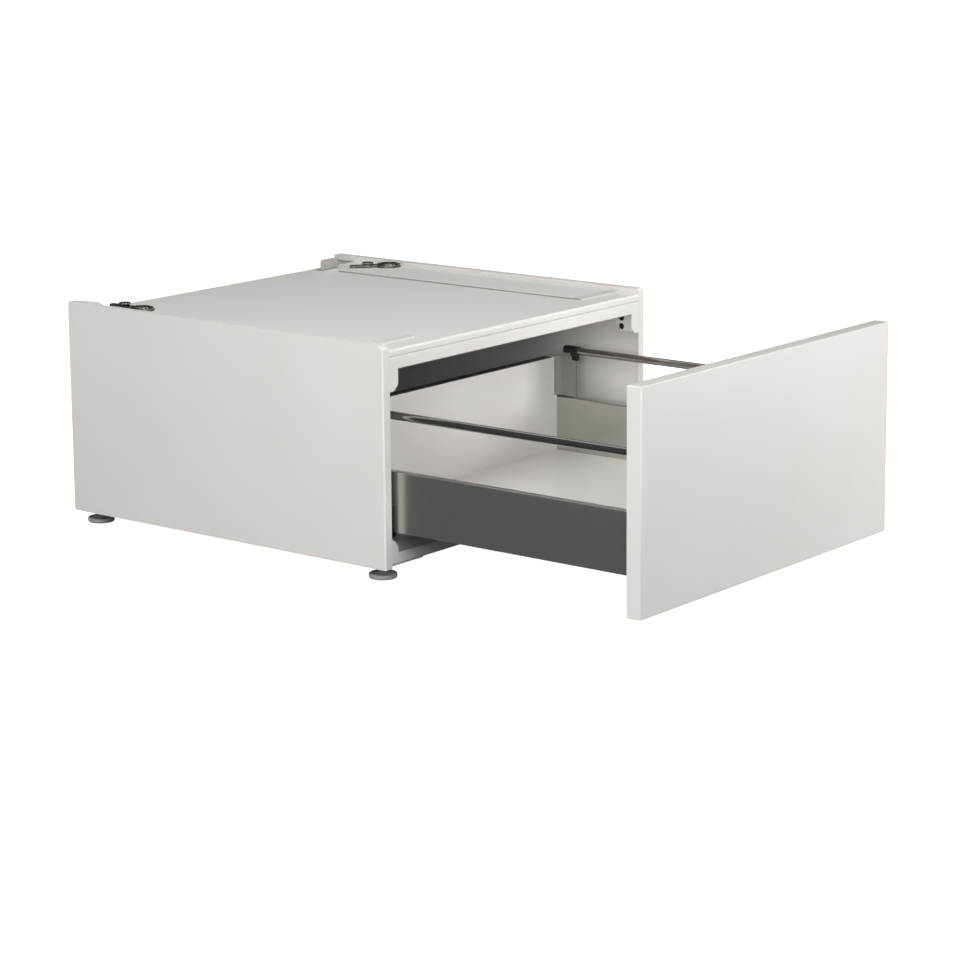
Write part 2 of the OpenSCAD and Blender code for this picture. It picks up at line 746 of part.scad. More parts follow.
// Clip over the rail's rear end, open below, with a forked foot on the drawer back's return
module rail_holder_solid() {
    half = holder_w / 2;
    y0 = holder_rear - holder_l;
    y1 = y0 + 1;
    difference() {
        union() {
            along_y(y0, holder_rear) polygon(rounded(
                box_points(gallery_x - half, holder_bottom, gallery_x + half, holder_top), [1, 1, 5, 5]
            ));
            along_y(y1, y1 + holder_foot_l) polygon(rounded(
                box_points(gallery_x - half, back_return_top + seat, gallery_x + half, gallery_z), [3, 3, 0, 0]
            ));
        }
        rod_y([gallery_x, y0 - 1, gallery_z], gallery_d + 2 * running, holder_socket + 1);
    }
    difference() {
        block(
            drawer_in - holder_foot_w, drawer_in + drawer_sheet + holder_foot_w, y1, y1 + holder_foot_l,
            back_return_top - holder_foot_h, back_return_top + 2 * seat
        );
        block(
            drawer_in - seat, drawer_in + drawer_sheet + seat, back_return_front - seat, y1 + holder_foot_l + 1,
            back_return_top - holder_foot_h - 1, back_return_top + seat
        );
    }
}
module rail_holder_right() black_plastic() placed() rail_holder_solid();
module rail_holder_left() black_plastic() placed() left_hand() rail_holder_solid();

// Cup on the drawer front that takes the rail's front end
module rail_cup_solid() difference() {
    union() {
        rod_y([gallery_x, drawer_y + seat, gallery_z], cup_d, cup_l);
        rod_y([gallery_x, drawer_y + seat, gallery_z], cup_d + 7, 2);
    }
    rod_y([gallery_x, drawer_y + seat + 1.5, gallery_z], gallery_d + 2 * running, cup_l);
}
module rail_cup_right() black_plastic() placed() rail_cup_solid();
module rail_cup_left() black_plastic() placed() left_hand() rail_cup_solid();

// Ring that a machine's rear foot stands in
module clamp_ring(p) dark_chrome() placed() translate([p.x, p.y, ring_z]) difference() {
    union() {
        cylinder(h = ring_flange_t, d = ring_d);
        cylinder(h = ring_collar_h, d = ring_bore + 2 * ring_wall);
    }
    translate([0, 0, -1]) cylinder(h = ring_collar_h + 2, d = ring_bore);
}

// Flat arm that turns about the ring's collar, with an eye, a threaded hole and a round end
module clamp_arm(p, angle) {
    collar = ring_bore / 2 + ring_wall;
    eye = collar + arm_eye_w;
    dark_chrome() placed() translate([p.x, p.y, arm_z]) rotate([0, 0, angle]) difference() {
        union() {
            cylinder(h = arm_t, r = eye);
            block(collar + 2, clamp_arm_l, -arm_w / 2, arm_w / 2, 0, arm_t);
            translate([clamp_arm_l, 0, -boss_drop]) cylinder(h = arm_t + boss_drop, d = arm_w);
            translate([knob_from_ring, 0, 0]) cylinder(h = arm_t, d = arm_w + 4);
        }
        translate([0, 0, -1]) cylinder(h = arm_t + 2, r = collar + running);
        translate([knob_from_ring, 0, -1]) cylinder(h = arm_t + 2, d = knob_stem_d + 2 * running);
    }
}

// Knob with a scalloped rim on a threaded stem
module clamp_knob(p, angle) dark_chrome() placed() translate([p.x, p.y, arm_z]) rotate([0, 0, angle])
    translate([knob_from_ring, 0, 0]) {
        difference() {
            translate([0, 0, arm_t + seat]) rotate_extrude() polygon([
                [0, 0], [knob_d / 2 - 3, 0], [knob_d / 2, 1.5], [knob_d / 2, knob_h - 1],
                [knob_d / 2 - 1, knob_h], [knob_d / 2 - 5, knob_h], [knob_d / 2 - 6, knob_h - 1], [0, knob_h - 1]
            ]);
            for (k = [0 : knob_scallops - 1]) rotate([0, 0, k * 360 / knob_scallops])
                translate([knob_d / 2 + 0.5, 0, 0]) cylinder(h = arm_t + knob_h + 2, d = knob_scallop_d, $fn = 24);
        }
        translate([0, 0, -boss_drop]) cylinder(h = boss_drop + arm_t + seat + 0.5, d = knob_stem_d);
    }

right_ring = [ring_x, right_ring_y];
left_ring = [-ring_x, left_ring_y];
module clamp_ring_right() clamp_ring(right_ring);
module clamp_ring_left() clamp_ring(left_ring);
module clamp_arm_right() clamp_arm(right_ring, right_arm_angle);
module clamp_arm_left() clamp_arm(left_ring, left_arm_angle);
module clamp_knob_right() clamp_knob(right_ring, right_arm_angle);
module clamp_knob_left() clamp_knob(left_ring, left_arm_angle);

// Upright stop behind the right track
module stop_tab() {
    z0 = body_h + seat;
    t = 1.5;
    foot = [[tab_back + tab_foot, z0], [tab_back, z0], [tab_back, z0 + 6]];
    white_coat() placed() {
        along_x(tab_x, tab_x + tab_w) polygon(folded(reversed(foot), t, 1));
        along_y(tab_back, tab_back + t) polygon(rounded(
            box_points(tab_x, z0 + 5, tab_x + tab_w, z0 + tab_h), [0, 0, 5, 5]
        ));
    }
}

side_panel_left();
side_panel_right();
top_plate();
foot_track_left();
foot_track_right();
front_rail_upper();
front_rail_lower();
rear_rail_lower();
rear_panel();
rear_panel_screws();
foot_plates();
foot_bushes();
lock_nuts();
foot_pad_front_left();
foot_pad_front_right();
foot_pad_rear_left();
foot_pad_rear_right();
foot_stem_front_left();
foot_stem_front_right();
foot_stem_rear_left();
foot_stem_rear_right();
runner_support_left();
runner_support_right();
cabinet_runner_left();
cabinet_runner_right();
runner_screws();
ball_cage_left();
ball_cage_right();
runner_balls_left();
runner_balls_right();
drawer_runner_left();
drawer_runner_right();
drawer_side_left();
drawer_side_right();
drawer_floor();
drawer_back();
drawer_front();
drawer_front_cover();
front_bracket_left();
front_bracket_right();
bracket_screws();
gallery_rail_left();
gallery_rail_right();
rail_holder_left();
rail_holder_right();
rail_cup_left();
rail_cup_right();
clamp_ring_left();
clamp_ring_right();
clamp_arm_left();
clamp_arm_right();
clamp_knob_left();
clamp_knob_right();
stop_tab();
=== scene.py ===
import json
import math

import bmesh
import bpy
from mathutils import Matrix, Vector


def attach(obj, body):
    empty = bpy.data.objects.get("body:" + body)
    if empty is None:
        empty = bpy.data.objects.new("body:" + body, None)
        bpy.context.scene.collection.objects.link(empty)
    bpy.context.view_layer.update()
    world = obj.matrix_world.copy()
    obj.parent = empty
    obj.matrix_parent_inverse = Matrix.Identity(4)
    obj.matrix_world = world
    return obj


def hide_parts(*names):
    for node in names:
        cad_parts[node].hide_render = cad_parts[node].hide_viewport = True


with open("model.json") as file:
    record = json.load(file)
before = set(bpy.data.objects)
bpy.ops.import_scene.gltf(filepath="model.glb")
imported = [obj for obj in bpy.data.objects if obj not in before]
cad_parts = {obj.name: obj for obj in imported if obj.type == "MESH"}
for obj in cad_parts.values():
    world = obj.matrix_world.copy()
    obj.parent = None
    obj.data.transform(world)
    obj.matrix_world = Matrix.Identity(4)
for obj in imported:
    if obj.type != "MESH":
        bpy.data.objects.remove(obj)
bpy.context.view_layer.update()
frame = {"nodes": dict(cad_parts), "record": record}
bodyOfNode = {node: body for body, nodes in frame["record"]["behaviour"]["bodies"].items() for node in nodes}
slotOfNode = {part["node"]: part["material_slot"] for part in frame["record"]["subparts"]}
print("frame loaded with", len(frame["nodes"]), "nodes")


# camera and studio

cameraSettings = {
    "place": (-3.21689, -2.59503, 1.01803),  # metres
    "heading": 51.2864,  # degrees, from straight back to the right
    "pitch": -10.9604,
    "roll": -0.4763,
    "lens": 110.657,  # mm
    "sensor": 36.0,
    "shiftUp": -0.1,
    "sight": 200.0,  # metres
}

studioSettings = {
    "floorSize": 120.0,  # metres
    "floorColour": "#F4F4F2",
    "floorGlow": 1.12,  # a light table, as white as the ground of a cut-out photograph
    "maskMargin": 0.07,  # painted shadow under the cabinet: the glow fades out between one and two margins inside the cabinet's outline
    "roomColour": "#FFFFFF",
    "roomBehind": 0.09,  # brightness of the room behind the object; it is dark elsewhere
    "softboxes": {  # place, what it looks at, width and height in metres, watts
        "leftSoftbox": ((-3.2, -1.6, 1.3), (0.0, -0.1, 0.15), 1.8, 1.8, 11.5),
        "leftLowStrip": ((-4.0, -0.6, 0.35), (0.0, 0.0, 0.15), 1.6, 0.7, 48.0),
        "cameraSideSoftbox": ((-2.4, -2.9, 2.1), (0.0, -0.1, 0.15), 1.0, 1.0, 20.5),
        "keyBox": ((-2.9, -2.9, 1.4), (0.0, -0.2, 0.15), 0.5, 0.5, 11.0),
        "frontSoftbox": ((-1.0, -4.0, 1.4), (0.0, -0.4, 0.15), 1.4, 1.2, 41.0),
        "rightFrontBox": ((1.1, -1.6, 0.35), (0.3, -0.6, 0.15), 0.5, 0.5, 12.4),
        "rightEndBox": ((2.3, -1.5, 0.6), (0.3, -0.5, 0.15), 0.9, 0.9, 2.2),
        "topSoftbox": ((-0.4, -0.9, 2.2), (0.0, -0.1, 0.1), 1.6, 1.6, 24.0),
        "topLeftSoftbox": ((-1.8, -0.3, 2.0), (0.0, 0.0, 0.15), 1.4, 1.4, 26.0),
        "topRearSoftbox": ((0.3, 0.9, 2.4), (0.0, 0.0, 0.1), 1.6, 1.6, 6.5),
        "rearStrip": ((-0.4, 4.2, 0.17), (-0.1, 0.5, 0.17), 1.6, 0.22, 30.0),
        "rightStrip": ((3.6, 0.6, 0.17), (0.3, 0.2, 0.17), 1.2, 0.22, 25.0),
    },
}


def linearColour(hexColour):
    parts = [int(hexColour[i:i + 2], 16) / 255 for i in (1, 3, 5)]
    return tuple(c / 12.92 if c <= 0.04045 else ((c + 0.055) / 1.055) ** 2.4 for c in parts) + (1.0,)


def addNode(tree, kind, settings=None, links=None):
    node = tree.nodes.new(kind)
    for name, value in (settings or {}).items():
        if isinstance(name, int) or name in node.inputs:
            node.inputs[name].default_value = value
        else:
            setattr(node, name, value)
    for name, source in (links or {}).items():
        tree.links.new(source, node.inputs[name])
    return node


def placeCamera():
    data = bpy.data.cameras.new("studioCamera")
    data.lens = cameraSettings["lens"]
    data.sensor_width = cameraSettings["sensor"]
    data.shift_y = cameraSettings["shiftUp"]
    data.clip_end = cameraSettings["sight"]
    camera = bpy.data.objects.new("studioCamera", data)
    bpy.context.collection.objects.link(camera)
    turn = (
        Matrix.Rotation(-math.radians(cameraSettings["heading"]), 4, "Z")
        @ Matrix.Rotation(math.radians(90.0 + cameraSettings["pitch"]), 4, "X")
        @ Matrix.Rotation(math.radians(cameraSettings["roll"]), 4, "Z")
    )
    camera.matrix_world = Matrix.Translation(cameraSettings["place"]) @ turn
    bpy.context.scene.camera = camera


# painted shadow: the floor's glow is taken away under the cabinet, where its shadow falls
def maskedGlow(tree):
    spot = addNode(tree, "ShaderNodeTexCoord").outputs["Object"]
    panels = [frame["nodes"][side].data.vertices for side in ("side_panel_left", "side_panel_right")]
    outline = [vert.co for verts in panels for vert in verts]
    low = Vector([min(co[i] for co in outline) for i in (0, 1)] + [0.0])
    high = Vector([max(co[i] for co in outline) for i in (0, 1)] + [0.0])
    middle = (low + high) / 2
    half = (high - low) / 2
    offset = addNode(tree, "ShaderNodeVectorMath", {"operation": "SUBTRACT", 1: middle}, {0: spot})
    folded = addNode(tree, "ShaderNodeVectorMath", {"operation": "ABSOLUTE"}, {0: offset.outputs["Vector"]})
    past = addNode(
        tree, "ShaderNodeVectorMath", {"operation": "SUBTRACT", 1: half}, {0: folded.outputs["Vector"]}
    )
    axes = addNode(tree, "ShaderNodeSeparateXYZ", None, {"Vector": past.outputs["Vector"]})
    nearest = addNode(
        tree, "ShaderNodeMath", {"operation": "MAXIMUM"}, {0: axes.outputs["X"], 1: axes.outputs["Y"]}
    )
    margin = studioSettings["maskMargin"]
    glow = addNode(
        tree, "ShaderNodeMapRange",
        {"From Min": -2 * margin, "From Max": -margin, "To Min": 0.0, "To Max": studioSettings["floorGlow"]},
        {"Value": nearest.outputs[0]},
    )
    return glow.outputs["Result"]


def buildFloor():
    ground = bmesh.new()
    bmesh.ops.create_grid(ground, x_segments=1, y_segments=1, size=studioSettings["floorSize"] / 2)
    data = bpy.data.meshes.new("studioFloor")
    ground.to_mesh(data)
    ground.free()
    floor = bpy.data.objects.new("studioFloor", data)
    bpy.context.collection.objects.link(floor)
    floor.visible_diffuse = False  # black velvet to the object, white paper to the viewer
    floor.visible_glossy = False
    paper = bpy.data.materials.new("litPaperFloor")  # white paper on a light table
    paper.use_nodes = True
    shader = paper.node_tree.nodes["Principled BSDF"]
    shader.inputs["Base Color"].default_value = linearColour(studioSettings["floorColour"])
    shader.inputs["Roughness"].default_value = 1.0
    shader.inputs["Specular IOR Level"].default_value = 0.0
    shader.inputs["Emission Color"].default_value = linearColour(studioSettings["floorColour"])
    paper.node_tree.links.new(maskedGlow(paper.node_tree), shader.inputs["Emission Strength"])
    data.materials.append(paper)


def buildRoom():
    world = bpy.data.worlds.new("studioRoom")
    world.use_nodes = True
    tree = world.node_tree
    tree.nodes.clear()
    place = addNode(tree, "ShaderNodeTexCoord")
    split = addNode(tree, "ShaderNodeSeparateXYZ", None, {"Vector": place.outputs["Generated"]})
    behind = addNode(
        tree, "ShaderNodeMapRange", {"To Max": studioSettings["roomBehind"]}, {"Value": split.outputs["Y"]}
    )
    room = addNode(
        tree, "ShaderNodeBackground", {"Color": linearColour(studioSettings["roomColour"])},
        {"Strength": behind.outputs["Result"]},
    )
    addNode(tree, "ShaderNodeOutputWorld", None, {"Surface": room.outputs["Background"]})
    bpy.context.scene.world = world


def hangSoftboxes():
    for name, (place, aim, width, tall, watts) in studioSettings["softboxes"].items():
        lamp = bpy.data.lights.new(name, "AREA")
        lamp.shape = "RECTANGLE"
        lamp.size = width
        lamp.size_y = tall
        lamp.energy = watts
        box = bpy.data.objects.new(name, lamp)
        bpy.context.collection.objects.link(box)
        aimed = (Vector(aim) - Vector(place)).to_track_quat("-Z", "Y")
        box.matrix_world = Matrix.Translation(place) @ aimed.to_matrix().to_4x4()


bpy.context.scene.view_settings.view_transform = "Standard"
bpy.context.scene.view_settings.look = "None"
placeCamera()
buildFloor()
buildRoom()
hangSoftboxes()
print("camera and studio ready")


# finishes: polyester powder coat, lacquer, zinc plate, black nickel and moulded plastics

coatSettings = {
    "whitePowderCoat": {  # polyester powder coat on sheet steel: satin, with a faint orange peel
        "colour": "#EAE7E4", "shade": "#E3E0DC", "roughness": 0.4, "roughSpread": 0.08,
        "peelMm": 2.4, "peelHeight": 0.072, "cloudMm": 140.0, "holeShadeColour": "#1B1A18",
        "grainMm": 6.0, "grainSize": 0.09, "grainHeight": 0.5,  # shares of the grains' distance and of peel
    },
}

lacquerSettings = {
    "silverMetallicLacquer": {  # silver lacquer on sheet steel: a soft mirror with aluminium flakes
        "colour": "#C6C5C0", "shade": "#BCBBB6", "metallic": 0.9, "roughness": 0.26, "roughSpread": 0.04,
        "flakeMm": 0.35, "flakeTint": 0.12, "peelMm": 7.0, "peelHeight": 0.004, "cloudMm": 90.0,
    },
    "semiGlossWhiteEnamel": {  # the drawer's back and floor
        "colour": "#F0EDEB", "shade": "#E9E6E3", "metallic": 0.08, "roughness": 0.22, "roughSpread": 0.03,
        "flakeMm": 0.35, "flakeTint": 0.1, "peelMm": 7.0, "peelHeight": 0.004, "cloudMm": 110.0,
    },
    "shadeGreyEnamel": {  # painted shade on the brackets at the ends of the drawer's back, and on the tracks' edges
        "colour": "#979591", "shade": "#8E8C88", "metallic": 0.15, "roughness": 0.36, "roughSpread": 0.05,
        "flakeMm": 0.5, "flakeTint": 0.15, "peelMm": 6.0, "peelHeight": 0.004, "cloudMm": 80.0,
    },
    "shadedStopTabEnamel": {  # the stop tab: its white coat darkened as painted shade
        "colour": "#A7A4A0", "shade": "#9E9B97", "metallic": 0.0, "roughness": 0.4, "roughSpread": 0.05,
        "flakeMm": 0.5, "flakeTint": 0.1, "peelMm": 4.0, "peelHeight": 0.006, "cloudMm": 30.0,
    },
    "shadedSlopeEnamel": {  # painted shade on the slopes at the tracks' front ends, against the light they catch: darker and matt, so that they hardly show
        "colour": "#D2CFCB", "shade": "#C9C6C2", "metallic": 0.0, "roughness": 0.6, "roughSpread": 0.1,
        "flakeMm": 0.5, "flakeTint": 0.1, "peelMm": 2.4, "peelHeight": 0.004, "cloudMm": 40.0,
    },
    "shadedWhiteEnamel": {  # painted shade inside the lips and on the drawer front's top face, which are greyer
        "colour": "#D5D2CE", "shade": "#CDCAC6", "metallic": 0.0, "roughness": 0.45, "roughSpread": 0.08,
        "flakeMm": 0.5, "flakeTint": 0.1, "peelMm": 2.4, "peelHeight": 0.006, "cloudMm": 80.0,
    },
    "shadowEdgeEnamel": {  # painted shade on the drawer back's upper edge and its brackets' front edges
        "colour": "#3A3834", "shade": "#33312E", "metallic": 0.0, "roughness": 0.42, "roughSpread": 0.05,
        "flakeMm": 0.5, "flakeTint": 0.2, "peelMm": 5.0, "peelHeight": 0.004, "cloudMm": 60.0,
    },
}

holeSettings = {  # painted shade: dark discs on the skin behind the two holes in each upper gusset, where the cavity is in shadow, in metres
    "along": -0.0488, "middle": 0.2711, "halfGap": 0.0065, "radius": 0.0062,
    "inside": 0.2839, "outside": 0.2975,
}

plateSettings = {
    "brightZincPlate": {  # rolled steel, zinc plated and passivated: roll lines under a bluish grey film
        "colour": "#B4B6B7", "shade": "#9FA2A5", "roughness": 0.32, "roughSpread": 0.16,
        "lineMm": 0.8, "lineLengthMm": 60.0, "lineHeight": 0.012, "spangleMm": 9.0, "metallic": 1.0,
    },
    "blackNickelPlate": {  # black nickel on pressed parts: a dark mirror
        "colour": "#8F8C87", "shade": "#7E7B77", "roughness": 0.14, "roughSpread": 0.06,
        "lineMm": 0.7, "lineLengthMm": 30.0, "lineHeight": 0.004, "spangleMm": 14.0, "metallic": 1.0,
    },
    "cloudedNickelTube": {  # the same plate over drawn tube, clouded by its lacquer
        "colour": "#A9A6A1", "shade": "#9A9793", "roughness": 0.16, "roughSpread": 0.05,
        "lineMm": 0.7, "lineLengthMm": 30.0, "lineHeight": 0.004, "spangleMm": 14.0, "metallic": 0.95,
    },
    "polishedBallSteel": {  # ground and lapped chrome steel: nearly a mirror
        "colour": "#C9C9C7", "shade": "#BEBEBC", "roughness": 0.08, "roughSpread": 0.04,
        "lineMm": 0.4, "lineLengthMm": 0.8, "lineHeight": 0.001, "spangleMm": 3.0, "metallic": 1.0,
    },
}

plasticSettings = {
    "blackMouldedNylon": {  # glass-filled nylon from a spark-eroded mould: matt with a fine grain
        "colour": "#18181A", "shade": "#202022", "roughness": 0.46, "roughSpread": 0.12,
        "grainMm": 0.7, "grainHeight": 0.02, "flowMm": 16.0,
    },
    "greyMouldedNylon": {  # the feet's grey nylon
        "colour": "#A3A3A0", "shade": "#969693", "roughness": 0.5, "roughSpread": 0.12,
        "grainMm": 0.9, "grainHeight": 0.025, "flowMm": 16.0,
    },
}


def newMaterial(name):
    material = bpy.data.materials.new(name)
    material.use_nodes = True
    tree = material.node_tree
    return material, tree, tree.nodes["Principled BSDF"]


def holeShadeMask(tree, place):
    h = holeSettings
    axes = addNode(tree, "ShaderNodeSeparateXYZ", None, {"Vector": place})
    side = addNode(tree, "ShaderNodeMath", {"operation": "ABSOLUTE"}, {0: axes.outputs["X"]})
    within = addNode(
        tree, "ShaderNodeMath",
        {"operation": "COMPARE", 1: (h["inside"] + h["outside"]) / 2, 2: (h["outside"] - h["inside"]) / 2},
        {0: side.outputs[0]},
    )
    along = addNode(tree, "ShaderNodeMath", {"operation": "SUBTRACT", 1: h["along"]}, {0: axes.outputs["Y"]})
    above = addNode(tree, "ShaderNodeMath", {"operation": "SUBTRACT", 1: h["middle"]}, {0: axes.outputs["Z"]})
    either = addNode(tree, "ShaderNodeMath", {"operation": "ABSOLUTE"}, {0: above.outputs[0]})
    up = addNode(tree, "ShaderNodeMath", {"operation": "SUBTRACT", 1: h["halfGap"]}, {0: either.outputs[0]})
    flat = addNode(tree, "ShaderNodeCombineXYZ", None, {"X": along.outputs[0], "Y": up.outputs[0]})
    away = addNode(tree, "ShaderNodeVectorMath", {"operation": "LENGTH"}, {0: flat.outputs["Vector"]})
    near = addNode(
        tree, "ShaderNodeMath", {"operation": "LESS_THAN", 1: h["radius"]}, {0: away.outputs["Value"]}
    )
    both = addNode(
        tree, "ShaderNodeMath", {"operation": "MULTIPLY"}, {0: near.outputs[0], 1: within.outputs[0]}
    )
    return both.outputs[0]


def wireSurface(tree, shader, s, mixBy, roughBy, heightBy, strength, heightMm):
    tone = addNode(
        tree, "ShaderNodeMix",
        {"data_type": "RGBA", 6: linearColour(s["colour"]), 7: linearColour(s["shade"])}, {0: mixBy},
    )
    spread = s["roughSpread"] / 2
    sheen = addNode(
        tree, "ShaderNodeMapRange", {"To Min": s["roughness"] - spread, "To Max": s["roughness"] + spread},
        {"Value": roughBy},
    )
    bump = addNode(
        tree, "ShaderNodeBump", {"Strength": strength, "Distance": heightMm / 1000}, {"Height": heightBy}
    )
    tree.links.new(tone.outputs[2], shader.inputs["Base Color"])
    tree.links.new(sheen.outputs["Result"], shader.inputs["Roughness"])
    tree.links.new(bump.outputs["Normal"], shader.inputs["Normal"])
    return tone.outputs[2]


def powderCoat(name):
    s = coatSettings[name]
    material, tree, shader = newMaterial(name)
    place = addNode(tree, "ShaderNodeTexCoord").outputs["Object"]
    cloud = addNode(
        tree, "ShaderNodeTexNoise", {"Scale": 1000 / s["cloudMm"], "Detail": 3.0}, {"Vector": place}
    )
    peel = addNode(
        tree, "ShaderNodeTexNoise", {"Scale": 1000 / s["peelMm"], "Detail": 2.0, "Roughness": 0.4},
        {"Vector": place},
    )
    speck = addNode(  # single grains that stayed proud
        tree, "ShaderNodeTexVoronoi", {"Scale": 1000 / s["grainMm"], "Randomness": 1.0}, {"Vector": place}
    )
    grain = addNode(
        tree, "ShaderNodeMapRange",
        {"From Min": 0.0, "From Max": s["grainSize"], "To Min": 1.0, "To Max": 0.0},
        {"Value": speck.outputs["Distance"]},
    )
    heights = addNode(
        tree, "ShaderNodeMath", {"operation": "MULTIPLY_ADD", 1: s["grainHeight"]},
        {0: grain.outputs["Result"], 2: peel.outputs["Fac"]},
    )
    tone = wireSurface(
        tree, shader, s, cloud.outputs["Fac"], peel.outputs["Fac"], heights.outputs[0], 0.6, s["peelHeight"]
    )
    # painted shade in the holes' cavity: the dark discs laid over the coat's tone
    holeShade = addNode(
        tree, "ShaderNodeMix", {"data_type": "RGBA", 7: linearColour(s["holeShadeColour"])},
        {0: holeShadeMask(tree, place), 6: tone},
    )
    tree.links.new(holeShade.outputs[2], shader.inputs["Base Color"])
    return material


def sprayedLacquer(name):
    s = lacquerSettings[name]
    material, tree, shader = newMaterial(name)
    place = addNode(tree, "ShaderNodeTexCoord").outputs["Object"]
    cloud = addNode(
        tree, "ShaderNodeTexNoise", {"Scale": 1000 / s["cloudMm"], "Detail": 2.0}, {"Vector": place}
    )
    flake = addNode(tree, "ShaderNodeTexVoronoi", {"Scale": 1000 / s["flakeMm"]}, {"Vector": place})
    mixed = addNode(
        tree, "ShaderNodeMix", {"data_type": "FLOAT", 0: s["flakeTint"]},
        {2: cloud.outputs["Fac"], 3: flake.outputs["Color"]},
    )
    peel = addNode(
        tree, "ShaderNodeTexNoise", {"Scale": 1000 / s["peelMm"], "Detail": 1.0, "Roughness": 0.3},
        {"Vector": place},
    )
    shader.inputs["Metallic"].default_value = s["metallic"]
    wireSurface(
        tree, shader, s, mixed.outputs[0], peel.outputs["Fac"], peel.outputs["Fac"], 0.5, s["peelHeight"]
    )
    return material


def platedMetal(name):
    s = plateSettings[name]
    material, tree, shader = newMaterial(name)
    place = addNode(tree, "ShaderNodeTexCoord").outputs["Object"]
    across = 1000 / s["lineMm"]
    along = addNode(  # the sheets were rolled, and the tubes drawn, along Y
        tree, "ShaderNodeMapping", {"Scale": (across, 1000 / s["lineLengthMm"], across)}, {"Vector": place}
    )
    lines = addNode(
        tree, "ShaderNodeTexNoise", {"Scale": 1.0, "Detail": 3.0}, {"Vector": along.outputs["Vector"]}
    )
    spangle = addNode(tree, "ShaderNodeTexVoronoi", {"Scale": 1000 / s["spangleMm"]}, {"Vector": place})
    mixed = addNode(
        tree, "ShaderNodeMix", {"data_type": "FLOAT", 0: 0.5},
        {2: lines.outputs["Fac"], 3: spangle.outputs["Color"]},
    )
    shader.inputs["Metallic"].default_value = s["metallic"]
    wireSurface(
        tree, shader, s, mixed.outputs[0], mixed.outputs[0], lines.outputs["Fac"], 0.5, s["lineHeight"]
    )
    return material


def mouldedPlastic(name):
    s = plasticSettings[name]
    material, tree, shader = newMaterial(name)
    place = addNode(tree, "ShaderNodeTexCoord").outputs["Object"]
    grain = addNode(
        tree, "ShaderNodeTexNoise", {"Scale": 1000 / s["grainMm"], "Detail": 3.0}, {"Vector": place}
    )
    flow = addNode(
        tree, "ShaderNodeTexNoise", {"Scale": 1000 / s["flowMm"], "Detail": 1.0}, {"Vector": place}
    )
    wireSurface(
        tree, shader, s, flow.outputs["Fac"], grain.outputs["Fac"], grain.outputs["Fac"], 0.6,
        s["grainHeight"],
    )
    return material


finishes = {
    "white_coat": powderCoat("whitePowderCoat"),
    "drawer_coat": sprayedLacquer("semiGlossWhiteEnamel"),
    "grey_coat": sprayedLacquer("silverMetallicLacquer"),
    "zinc_plate": platedMetal("brightZincPlate"),
    "steel_balls": platedMetal("polishedBallSteel"),
    "dark_chrome": platedMetal("blackNickelPlate"),
    "black_plastic": mouldedPlastic("blackMouldedNylon"),
    "grey_plastic": mouldedPlastic("greyMouldedNylon"),
}

shadeFaceSettings = {  # least parts of a face's normal, and depths in metres, that choose the faces with painted shade
    "facing": 0.7, "square": 0.9, "aside": 0.6, "rounded": 0.2, "sloped": 0.05,
    "bracketSheet": 0.0015, "bracketDepth": 0.03, "edgeDepth": 0.006,
}
plateTop = max(vert.co.z for vert in frame["nodes"]["top_plate"].data.vertices)
backTop = max(vert.co.z for vert in frame["nodes"]["drawer_back"].data.vertices)
backHalf = max(vert.co.x for vert in frame["nodes"]["drawer_back"].data.vertices)


def isLipInside(centre, normal):
    return centre.z > plateTop and normal.x * centre.x < -shadeFaceSettings["facing"] * abs(centre.x)


def isTrackEdge(centre, normal):
    return abs(normal.x) > shadeFaceSettings["aside"]


def isTrackSlope(centre, normal):
    return normal.z > shadeFaceSettings["square"] and normal.y < -shadeFaceSettings["sloped"]


def isBracketFront(centre, normal):
    return normal.y < -shadeFaceSettings["square"] and abs(centre.x) > backHalf - shadeFaceSettings["bracketSheet"]


def isBracket(centre, normal):
    return abs(normal.x) > shadeFaceSettings["rounded"] and abs(centre.x) > backHalf - shadeFaceSettings["bracketDepth"]


def isBackTop(centre, normal):
    return normal.z > shadeFaceSettings["facing"] and centre.z > backTop - shadeFaceSettings["edgeDepth"]


def isTop(centre, normal):
    return normal.z > shadeFaceSettings["facing"]


def isAny(centre, normal):
    return True


shadowEdge = sprayedLacquer("shadowEdgeEnamel")
shadeGrey = sprayedLacquer("shadeGreyEnamel")
shadedCoat = sprayedLacquer("shadedWhiteEnamel")
tubeFinish = platedMetal("cloudedNickelTube")
ownFinishes = {"gallery_rail_left": tubeFinish, "gallery_rail_right": tubeFinish}
lipFinishes = [(shadedCoat, isLipInside)]
trackFinishes = [(shadeGrey, isTrackEdge), (sprayedLacquer("shadedSlopeEnamel"), isTrackSlope)]
shadeFinishes = {  # painted shade: second, darker finishes on a piece, and which faces take them
    "drawer_back": [(shadowEdge, isBracketFront), (shadeGrey, isBracket), (shadowEdge, isBackTop)],
    "drawer_front": [(shadedCoat, isTop)],
    "side_panel_left": lipFinishes,
    "side_panel_right": lipFinishes,
    "foot_track_left": trackFinishes,
    "foot_track_right": trackFinishes,
    "stop_tab": [(sprayedLacquer("shadedStopTabEnamel"), isAny)],
}
print("finishes ready:", len(finishes))


# pieces from the CAD nodes, with their edges broken

edgeSettings = {  # radius of the broken edges in mm, by node or by finish
    "white_coat": 0.25, "drawer_coat": 0.2, "grey_coat": 0.2, "zinc_plate": 0.15, "steel_balls": 0.0,
    "dark_chrome": 0.3, "black_plastic": 0.4, "grey_plastic": 0.6,
    "drawer_front": 0.0, "clamp_knob_left": 0.25, "clamp_knob_right": 0.25, "gallery_rail_left": 0.15,
    "gallery_rail_right": 0.15, "ball_cage_left": 0.1, "ball_cage_right": 0.1,
}

